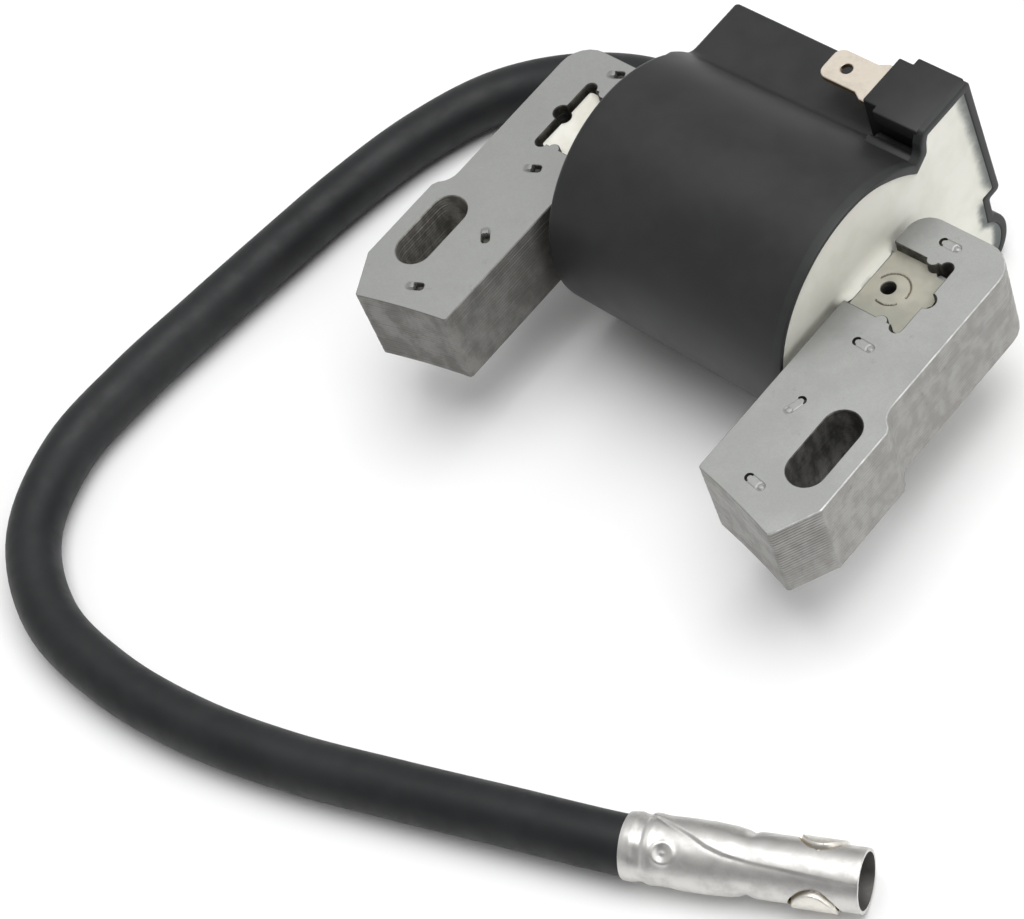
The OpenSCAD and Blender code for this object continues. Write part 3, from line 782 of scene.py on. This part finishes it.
def make_bar():
    """The bar: a stack with a lock's notch in each side, a round notch in each end and a hole near it."""
    end, half, sheets = POCKET_END - 0.6, BAR_W / 2, 17
    opening = math.degrees(math.asin(0.35 / 1.0))
    upper = sharp(arc(end + 0.35, 0, 1.05, 180 - 70, 180, 6)[::-1]) + [((end, half), 0.3)]
    upper += sharp(arc(LOCK_X, half + 0.35, 1.0, 360 - opening, 180 + opening, 10))
    side = upper + [((-x, y), r) for (x, y), r in reversed(upper)][:-1]
    loop = side + [((-x, -y), r) for (x, y), r in side]
    outline = [(x, y + CORE_Y) for x, y in spaced(rounded(loop, 4), 2.0)]
    if signed_area(outline) < 0:
        outline.reverse()
    holes = [[(s * BAR_HOLE_X + x, CORE_Y + y) for x, y in circle(0, 0, BAR_HOLE_R, 28)] for s in (-1, 1)]
    build = Build()
    stack(build, outline, holes, BAR_Z, sheets, BAR_H / sheets, random.Random(21))
    build.make("core_bar_sheets", "core_bar",
               [STEEL_FACE, STEEL_EDGE, POCKET_SHADE, STEEL_FACE, POCKET_SHADE], 40, FLAT)


# ---------------------------------------------------------------- coil housing
def can_and_web(r, start, corner):
    """The part that both outlines of the housing share: the can, the foot of the web and the boss."""
    foot = -math.degrees(math.acos(FOOT_REACH / r))
    return (sharp(arc(CORE_Y, MID_Z, r, start, 360 + foot, 96)) + [((WEB_START, WEB_LOW), corner)]
            + sharp(arc(BOSS_Y, BOSS_Z, BOSS_R, -104.3, 51.8, 32)) + [((WEB_Y, WEB_TOP), corner)])


def moved_in(corners, d, n):
    """The rounded outline, moved inward by d first."""
    points = [p for p, _ in corners]
    return rounded(list(zip(inset(points, d) if d else points, [r for _, r in corners])), n)


def housing_loop(r, corner=0.5, d=0.0):
    """Outline of the can, box, web and boss in Y and Z, moved inward by d, with rounded corners."""
    rise = BOX_TOP + NECK_R - MID_Z
    neck = math.sqrt((r + NECK_R) ** 2 - rise ** 2)
    lean = math.degrees(math.atan2(rise, neck))
    corners = can_and_web(r, lean, corner) + [((BOX_FOOT, WEB_TOP), corner), ((BOX_BACK, BOX_TOP), corner)]
    corners += sharp(arc(CORE_Y + neck, BOX_TOP + NECK_R, NECK_R, 270, 180 + lean, 10))
    return moved_in(corners, d, 4)


def rim_loop(d, radii):
    """Outline of the open right end in Y and Z, with the terminal block's end in it."""
    start = math.degrees(math.atan2(12.55, 12.05))
    ends = [(BOX_FOOT, WEB_TOP), (BLOCK_REAR, BLOCK_TOP), (37.3, BLOCK_TOP), (36.45, 20.9), (36.15, 19.5)]
    return moved_in(can_and_web(CAN_R_RIGHT, start, radii[0]) + list(zip(ends, radii[1:])), d, 5)


RIM_CORNERS = (0.3, 0.3, 0.3, 0.3, 0.9, 0.9)


def shell_ring(x, loop):
    """A ring of the shell: the electronics box starts a little further left than the can."""
    left = (CAN_RIGHT - x) / (CAN_RIGHT - CAN_LEFT) * (BOX_LEFT - CAN_LEFT)
    return [(x + left * eased(y, 33, 34.5) * eased(z, -0.5, 0.8), y, z) for y, z in loop]


def mixed(a, b, t):
    return [(p[0] + (q[0] - p[0]) * t, p[1] + (q[1] - p[1]) * t) for p, q in zip(a, b)]


def can_r(x):
    return CAN_R_LEFT + (CAN_R_RIGHT - CAN_R_LEFT) * (x - CAN_LEFT) / (CAN_RIGHT - CAN_LEFT)


def bar_end(half_y, half_z, n):
    """Outline round the bar in Y and Z."""
    return rounded([((CORE_Y + y, MID_Z + z), 0.3) for y, z in (
        (-half_y, -half_z), (half_y, -half_z), (half_y, half_z), (-half_y, half_z))], n)


def make_housing_shell():
    """Can, electronics box, web and boss in one hollow piece, up to just short of the rim."""
    edge, end, floor_x = 0.8, 18.86, CAN_LEFT + 1.4
    socket_r, socket_mouth_r, socket_ease = 3.72, 4.0, 0.28
    build = Build()
    rings = []
    for k in range(7):
        a = math.radians(90 * k / 6)
        loop = inset(housing_loop(CAN_R_LEFT), edge * (1 - math.sin(a)))
        rings.append((build.ring(shell_ring(CAN_LEFT + edge * (1 - math.cos(a)), loop)), loop))
    for k in range(1, 9):
        x = CAN_LEFT + edge + (end - CAN_LEFT - edge) * k / 8
        loop = housing_loop(can_r(x))
        rings.append((build.ring(shell_ring(x, loop)), loop))
    inner = [housing_loop(can_r(x), 0.3, WALL) for x in (floor_x, end)]
    inner_rings = [build.ring(yz(x, loop)) for x, loop in zip((floor_x, end), inner)]
    build.loft([ids for ids, _ in rings] + inner_rings[::-1])
    bar = bar_end(4.95, 4.35, 4)
    socket = circle(BOSS_Y, BOSS_Z, socket_r, 40)
    socket_wide = circle(BOSS_Y, BOSS_Z, socket_mouth_r, 40)
    bar_ids = [build.ring(yz(x, bar)) for x in (CAN_LEFT, floor_x)]
    throat = [build.ring(yz(CAN_LEFT, socket_wide))]
    throat += [build.ring(yz(x, socket)) for x in (CAN_LEFT + socket_ease, floor_x)]
    build.loft(bar_ids)
    build.loft(throat)
    build.fill([rings[0], (bar_ids[0], bar), (throat[0], socket_wide)], lambda p: (CAN_LEFT, *p))
    build.fill([(inner_rings[0], inner[0]), (bar_ids[1], bar), (throat[-1], socket)], lambda p: (floor_x, *p))
    build.make("coil_housing_shell", "coil_housing", [HOUSING], 32)


def prism(name, outline, reach):
    """A plain block: a flat outline moved along reach."""
    build = Build()
    build.rod([build.ring([tuple(Vector(p) + Vector(move)) for p in outline]) for move in ((0, 0, 0), reach)])
    return build.plain(name)


def lip(p):
    """Width of the rim's face: the resin has run over half of it along the front of the can."""
    return WALL * (0.5 + 0.5 * eased(p[0], 25, 34))


def make_rim():
    """The open right end: a wall that follows the can, the neck and the terminal block."""
    corners = (0.5, 0.6, 0.7, 1.0, 1.4, 1.6)
    outer, face = rim_loop(0, corners), rim_loop(lip, RIM_CORNERS)
    inner = rim_loop(WALL, RIM_CORNERS)
    build = Build()
    rings = [(18.7, outer)]
    rings += [(x, mixed(outer, face, t)) for x, t in (
        (19.72, 0.0), (19.86, 0.04), (19.96, 0.14), (20.0, 0.3), (20.0, 0.75), (19.95, 0.9), (19.8, 1.0))]
    rings += [(18.9, face), (18.85, inner), (18.7, inner)]
    ids = [build.ring(yz(x, loop)) for x, loop in rings]
    build.loft(ids + ids[:1])
    build.make("coil_housing_rim", "coil_housing", [HOUSING_RIM], 32)


def make_terminal_block():
    """The block with its collar round the blade, open in front above the rib, and the rib."""
    left, right, collar, foot, rib_left = BLOCK_LEFT, 19.2, (10.3, 37.9, 45.3), 15.2, 11.6
    plan = [(collar[0], collar[1]), (left, collar[1]), (left, BLOCK_FRONT), (right, BLOCK_FRONT),
            (right, BLOCK_REAR), (left, BLOCK_REAR), (left, collar[2]), (collar[0], collar[2])]
    block = prism("terminal_block", [(x, y, foot) for x, y in plan], (0, 0, BLOCK_TOP + 0.01 - foot))
    gap = prism("crevice_cutter", yz(9.5, [(36, 15), (37.9, 15), (37.9, 20.4), (36, 20.4)]), (9.0, 0, 0))
    modified(block, ("BOOLEAN", {"operation": "DIFFERENCE", "object": gap, "solver": "MANIFOLD"}))
    bpy.data.objects.remove(gap)
    rib_end = [(34.7, 18.6), (34.7, 15.0), (37.95, 15.0), (37.95, 17.6), (36.5, 17.4), (36.4, 18.9)]
    rib = prism("terminal_rib", yz(rib_left, rib_end), (7.35, 0, 0))
    for obj, width in ((block, 0.22), (rib, 0.6)):
        modified(obj, ("BEVEL", {"width": width * MM, "segments": 3, "limit_method": "ANGLE",
                                 "angle_limit": math.radians(30)}))
        obj.data.materials.clear()
        obj.data.materials.append(HOUSING)
        smooth(obj, 32)
        on_body(obj, "coil_housing")


# ---------------------------------------------------------------- potting and joint epoxy
def distance_to(p, loop):
    best = 1e9
    for a, b in zip(loop, loop[1:] + loop[:1]):
        dx, dy = b[0] - a[0], b[1] - a[1]
        t = clamped(((p[0] - a[0]) * dx + (p[1] - a[1]) * dy) / (dx * dx + dy * dy + 1e-12))
        best = min(best, math.hypot(p[0] - a[0] - dx * t, p[1] - a[1] - dy * t))
    return best


def clear_of(p, outline, hole, edge_gap, hole_gap):
    """True between the outline and the hole in it, clear of both edges."""
    return (inside(p, outline) and distance_to(p, outline) > edge_gap
            and not inside(p, hole) and distance_to(p, hole) > hole_gap)


def lump(p, seed, size):
    return noise.noise(Vector((p[0] / size + seed, p[1] / size, seed)))


def make_potting_face():
    """The poured face: it creeps up every wall, and stands proud against the side of the bar."""
    wall = rim_loop(lambda p: lip(p) + 0.02, RIM_CORNERS)
    wall_deep = rim_loop(WALL + 0.02, RIM_CORNERS)
    bar = spaced(bar_end(BAR_W / 2 + 0.05, BAR_H / 2 + 0.05, 3), 0.5)
    level, back, highest, pitch = 19.3, 18.62, 20.62, 0.42
    top, ridge_y = BAR_Z + BAR_H, 23.2

    def height(p):
        at_wall, at_bar = distance_to(p, wall), distance_to(p, bar)
        creep = 0.42 * math.exp(-at_wall / 0.45) + 0.14 * math.exp(-at_wall / 2.2)
        ridge = bell(p[1], top + 0.40, 0.42) * bell(p[0], ridge_y, 4.9, 6)
        ridge += 0.35 * bell(p[1], top + 1.1, 0.8) * bell(p[0], ridge_y, 4.6, 4)
        climb = 0.5 * math.exp(-at_bar / 0.35) + 1.2 * ridge
        wave = 0.10 * lump(p, 3.1, 6.0) + 0.035 * lump(p, 8.7, 1.7)
        return min(highest, level + creep + climb + wave)

    build = Build()
    loops = []
    for loop, flat in ((wall, wall_deep), (bar, bar)):
        ids = build.ring([(height(p), *p) for p in loop])
        deep = build.ring(yz(back, flat))
        build.bridge(ids, deep)
        loops.append((ids, loop, deep, flat))
    grid = [(CORE_Y + i * pitch + (j % 2) * pitch / 2, MID_Z + j * pitch)
            for i in range(-60, 90) for j in range(-60, 90)]
    extra = [p for p in grid if clear_of(p, wall, bar, 0.22, 0.18)]
    for ring in (0.12, 0.3):
        extra += [p for p in inset(wall, ring) if inside(p, wall) and distance_to(p, wall) > ring * 0.8]
    build.fill([(ids, loop) for ids, loop, _, _ in loops], lambda p: (height(p), *p), 0, extra)
    build.fill([(deep, flat) for _, _, deep, flat in loops], lambda p: (back, *p))
    build.make("potting_face", "potting", [POTTING], 60)


def make_joint_epoxy(node, mirror, thickness, inner_x, skins, notch, corner, rings):
    """A skin of epoxy over the bar's end, with the hole left open through it. rings are the marks of the
    punch round the hole: (centre, radius, first angle, last angle)."""
    half = POCKET_HALF - 0.03
    opening = math.degrees(math.asin(0.25 / 0.97))
    base, pitch = BAR_Z + BAR_H, 0.115

    def side(points):
        start = 360 - opening if points[-1][1] > half - 0.1 else 315
        lock = arc(LOCK_X, POCKET_HALF + 0.25, 0.95, start, 180 + opening, 8)
        return [(p, 0.4) for p in points] + sharp(lock) + [((inner_x, half), 0.2)]

    upper, lower = side(corner), side([(28.95, half)])
    corners = sharp(arc(*notch, 242, 118, 8)) + upper + [((x, -y), r) for (x, y), r in reversed(lower)]
    loop = [(x, y + CORE_Y) for x, y in spaced(rounded(corners, 4), 0.4)]
    hole = [(BAR_HOLE_X + x, CORE_Y + y) for x, y in circle(0, 0, BAR_HOLE_R + 0.02, 28)]

    def mark(p):
        cut = 0.0
        for (cx, cy), radius, a0, a1 in rings:
            around = math.degrees(math.atan2(p[1] - cy, p[0] - cx))
            if (around - a0) % 360 <= a1 - a0:
                cut = max(cut, bell(math.hypot(p[0] - cx, p[1] - cy), radius, 0.13))
        return cut

    def height(p):
        bead = 0.4 * thickness * math.exp(-distance_to(p, loop) / 0.35)
        dip = 0.08 * math.exp(-(math.hypot(p[0] - BAR_HOLE_X, p[1] - CORE_Y) - BAR_HOLE_R) / 0.25)
        return base + thickness + bead - 0.2 * mark(p) - dip + 0.09 * lump(p, 5.0 + mirror, 1.8)

    build = Build()
    loops = []
    for outline in (loop, hole):
        flat = [(mirror * x, y) for x, y in outline]
        ids = build.ring([(mirror * p[0], p[1], height(p)) for p in outline])
        deep = build.ring(xy(flat, base - 0.02))
        build.bridge(ids, deep)
        loops.append((ids, flat, deep))
    grid = [(19.0 + i * pitch, CORE_Y + j * pitch) for i in range(0, 110) for j in range(-50, 51)]
    extra = [(mirror * p[0], p[1]) for p in grid if clear_of(p, loop, hole, 0.07, 0.06)]
    first = len(build.faces)
    build.fill([(ids, flat) for ids, flat, _ in loops],
               lambda p: (*p, height((mirror * p[0], p[1]))), 0, extra)
    # faces deep in the ring marks take the darker second material
    for i in range(first, len(build.faces)):
        corners = [build.verts[j] for j in build.faces[i]]
        if mark((mirror * sum(v[0] for v in corners) / 3, sum(v[1] for v in corners) / 3)) > 0.45:
            build.mats[i] = 1
    build.fill([(deep, flat) for _, flat, deep in loops], lambda p: (*p, base - 0.02))
    build.make(f"{node}_skin", node, skins, 60)


# ---------------------------------------------------------------- stop-switch tab
def make_tab():
    """The 4.8 mm blade, its shoulders and its latch hole, stamped from sheet with eased edges."""
    half, wide, left, right = 2.4, 3.1, 1.3, 11.2
    upper = [((left, -half), 1.3), ((7.3, -half), 0.3), ((8.5, -wide), 0.3), ((right, -wide), 0)]
    outline = rounded(upper + [((x, -y), r) for (x, y), r in reversed(upper)], 6)
    hole = circle(4.2, 0, 0.8, 36)
    build = Build()
    low, high, ease = TAB_TOP - TAB_T, TAB_TOP, 0.09
    rings = {"edge": [], "hole": []}
    for z, e in ((low, ease), (low + ease, 0), (high - ease * 0.8, 0), (high, ease)):
        for key, loop, sign in (("edge", outline, 1), ("hole", hole, -1)):
            flat = [(x, y + TAB_Y) for x, y in inset(loop, sign * e)]
            rings[key].append((build.ring(xy(flat, z)), flat))
    for key in rings:
        for i, (a, b) in enumerate(zip(rings[key], rings[key][1:])):
            build.bridge(a[0], b[0], 1 if i == 1 else 0)
    build.fill([rings["edge"][0], rings["hole"][0]], lambda p: (*p, low))
    build.fill([rings["edge"][-1], rings["hole"][-1]], lambda p: (*p, high))
    build.make("stop_switch_tab_blade", "stop_switch_tab", [TIN, BRASS_EDGE], 35)


# ---------------------------------------------------------------- plug terminal
CLIP_LEN, SHEET = 28.5, 0.4
CLIP_PROFILE = [(0.0, 4.02), (0.5, 4.08), (1.2, 4.10), (1.9, 3.92), (2.5, 3.9), (3.0, 4.06), (3.5, 4.1),
                (4.1, 4.02), (5.0, 3.98), (7.5, 4.06), (10.0, 4.08), (12.4, 4.04), (14.2, 3.90),
                (16.0, 3.84), (20.0, 3.84), (24.0, 3.82), (CLIP_LEN - 0.5, 3.79), (CLIP_LEN, 3.77)]
SEAM = [(2.0, 48), (3.9, 37), (6.0, 20), (8.2, 6), (10.3, -9), (12.4, -18), (15.8, -25), (21.7, -31),
        (CLIP_LEN, -39)]
DIMPLE = (5.3, -29.0)
WIDEST = 59.0
WINDOW_AT, WINDOW_R, PAD_R, PAD_OUT = 23.1, 3.15, 2.8, 0.34
PAD_TURN = 17.0


def clip_point(s, angle, r):
    """A point on the terminal: s along it from the mouth, angle round it from straight up, in degrees."""
    a = math.radians(angle)
    side = Vector((-CLIP_DIR.y, CLIP_DIR.x, 0))
    return CLIP_MOUTH + CLIP_DIR * s + side * (r * math.sin(a)) + Vector((0, 0, r * math.cos(a)))


def seam_angle(s):
    """The overlapping edge of the rolled sheet: high on the crimp, sweeping down to the barrel."""
    return looked_up(SEAM, s)


def turned(angle, start):
    """The angle from start, between -180 and 180."""
    return (angle - start + 540) % 360 - 180


def clip_r(s, angle):
    """The rolled sheet's radius, with the crushed mouth, the neck, the seam's lap and the dimple."""
    turn, around = turned(angle, seam_angle(s)), math.radians(angle)
    r = looked_up(CLIP_PROFILE, s, soft)
    crush = max(0.0, 1 - abs(s - 1.8) / 2.6)
    r += crush * 0.05 * math.cos(math.radians(5 * angle + 40))
    r += crush * 0.035 * math.cos(math.radians(9 * angle + 80 * s))
    lap = 0.24 * clamped((s - 2.4) / 0.8) * (0.30 + 0.70 * clamped((15.5 - s) / 5.0))
    for side in (WIDEST, WIDEST + 180):
        r -= 0.40 * bell(s, 14.9, 0.6) * bell(turned(angle, side), 0, 30)
    flat = max(0.0, min(1.0, (s - 2.0) / 5.0, (14.0 - s) / 4.0))
    r += 0.16 * flat * math.cos(math.radians(2 * (angle - WIDEST)))
    if turn > 0:
        r += lap * eased(turn, 0.0, 5.0) * bell(turn, 0, 38.0)
    else:
        r -= 0.2 * lap * bell(turn, 0, 5.0)
    away = math.hypot(s - DIMPLE[0], math.radians(turned(angle, DIMPLE[1])) * r)
    r += 0.14 * bell(away, 1.2, 0.34) - 0.30 * bell(away, 0, 0.8) + 0.12 * bell(away, 0, 0.3)
    r += 0.018 * noise.noise(Vector((s * 0.8, math.cos(around) * 2, math.sin(around) * 2)))
    return min(r, 4.3)


def make_terminal():
    """The rolled sheet, with its two windows cut out."""
    build = Build()

    def wall(along, depth):
        rings = []
        for i in range(along + 1):
            s = CLIP_LEN * i / along
            angles = [360 * k / 240 for k in range(240)]
            rings.append(build.ring([tuple(clip_point(s, a, clip_r(s, a) - depth)) for a in angles]))
        return rings

    outer, inner = wall(180, 0), wall(45, SHEET)
    build.loft(outer)
    # the inner wall takes the painted-shade copy of the plating
    build.loft(inner, 2)
    build.bridge(outer[0], inner[0])
    build.bridge(outer[-1], inner[-1])
    shell = build.make("plug_terminal_shell", "plug_terminal",
                       [PLATED, BRASS_EDGE, PLATED_BORE_SHADE], 50)
    cutter = across_clip("window_cutter", WINDOW_R, 12, 64)
    for face in cutter.data.polygons:
        face.material_index = 1
    modified(shell, ("BOOLEAN", {"operation": "DIFFERENCE", "object": cutter, "solver": "MANIFOLD"}))
    bpy.data.objects.remove(cutter)
    smooth(shell, 50)


def across_clip(name, radius, reach, sides):
    """A rod across the barrel at the windows."""
    build = Build()
    centre = clip_point(WINDOW_AT, 0, 0)
    out = clip_point(0, 90 - PAD_TURN, 1) - CLIP_MOUTH
    up = CLIP_DIR.cross(out)
    turns = [2 * math.pi * k / sides for k in range(sides)]
    circle_at = [CLIP_DIR * (radius * math.cos(t)) + up * (radius * math.sin(t)) for t in turns]
    build.rod([build.ring([tuple(centre + out * t + q) for q in circle_at]) for t in (-reach, reach)])
    return build.plain(name)


def make_spring():
    """The band inside the barrel and its two pads, which belly out through the windows."""
    half_len, rest, thick, gap, barrel_r = 2.7, 3.36, 0.3, 40, 3.85
    across, along = 220, 44
    pad_at = (90 - PAD_TURN, 270 - PAD_TURN)
    build = Build()

    def band_r(s, angle):
        r = rest
        for pad in pad_at:
            da = math.radians(turned(angle, pad))
            away = math.hypot(s - WINDOW_AT, math.sin(da) * 3.9) if abs(da) < 1.4 else 9
            r += (barrel_r + PAD_OUT - rest) * eased(PAD_R + 0.12 - away, 0, 0.28)
        return r

    start, span = pad_at[0] + 90 + gap / 2, 360 - gap
    outer, inner = [], []
    for i in range(along + 1):
        s = WINDOW_AT - half_len + 2 * half_len * i / along
        angles = [start + span * k / across for k in range(across + 1)]
        outer.append(build.ring([tuple(clip_point(s, a, band_r(s, a))) for a in angles]))
        inner.append(build.ring([tuple(clip_point(s, a, band_r(s, a) - thick)) for a in angles]))
    pairs = [(outer[k], inner[k]) for k in (0, -1)]
    pairs += [([ring[k] for ring in outer], [ring[k] for ring in inner]) for k in (0, -1)]
    for rings in (outer, inner, *pairs):
        build.loft(rings, closed=False)
    build.make("terminal_spring_band", "terminal_spring", [SPRING], 50)


# ---------------------------------------------------------------- build
make_legs()
make_bar()
make_housing_shell()
make_rim()
make_terminal_block()
make_potting_face()
make_joint_epoxy("joint_epoxy_right", 1, 0.32, 20.75, [EPOXY_AMBER, EPOXY_RING_MARK],
                 (29.95, -0.35, 0.78), [(29.3, 3.9), (27.5, 4.15)],
                 [((23.8, 23.05), 2.3, -8, 165), ((23.8, 23.05), 2.38, 250, 322)])
make_joint_epoxy("joint_epoxy_left", -1, 0.8, 20.5, [EPOXY_PALE],
                 (POCKET_END - 0.05, 0, 1.15), [(28.95, POCKET_HALF - 0.03)], [])
make_tab()
make_terminal()
make_spring()
lead.data.materials.append(RUBBER)
for node_material, node_names in NODE_MATERIALS:
    for node_name in node_names:
        for node_slot in bpy.data.objects[node_name].material_slots:
            node_slot.material = node_material


# ---------------------------------------------------------------- stage and light
def make_floor():
    half = 3000
    obj = mesh_object("floor", [(x, y, FLOOR_Z) for x, y in (
        (-half, -half), (half, -half), (half, half), (-half, half))], [(0, 1, 2, 3)])
    obj.data.materials.append(FLOOR)


def area_light(name, at, to, size, power):
    data = bpy.data.lights.new(name, "AREA")
    data.shape = "RECTANGLE"
    data.size, data.size_y = size
    data.energy = power
    obj = linked(name, data)
    at, to = Vector(at), Vector(to)
    obj.location = at
    obj.rotation_euler = (to - at).to_track_quat("-Z", "Y").to_euler()


make_floor()
area_light("overhead", (0.10, 0.15, 0.95), (0, 0, 0), (0.9, 0.9), 9)
area_light("right_fill", (0.85, 0.05, 0.40), (0, 0, 0), (0.6, 0.5), 2.2)


def make_world():
    """Soft pale surroundings, dimmer on the camera's side of the room."""
    world = bpy.data.worlds.new("world")
    bpy.context.scene.world = world
    world.use_nodes = True
    tree = world.node_tree
    background = tree.nodes["Background"]
    direction = tree.nodes.new("ShaderNodeTexCoord").outputs["Generated"]
    dot = tree.nodes.new("ShaderNodeVectorMath")
    dot.operation = "DOT_PRODUCT"
    dot.inputs[1].default_value = Vector((0.60, -0.40, 0.55)).normalized()
    tree.links.new(direction, dot.inputs[0])
    fade = tree.nodes.new("ShaderNodeMapRange")
    fade.interpolation_type = "SMOOTHSTEP"
    for key, v in (("From Min", 0.2), ("From Max", 0.95), ("To Min", 0.62), ("To Max", 0.10)):
        fade.inputs[key].default_value = v
    tree.links.new(dot.outputs["Value"], fade.inputs["Value"])
    tree.links.new(fade.outputs["Result"], background.inputs["Strength"])
    background.inputs["Color"].default_value = (1, 1, 1, 1)


make_world()
bpy.context.scene.view_settings.view_transform = "Standard"
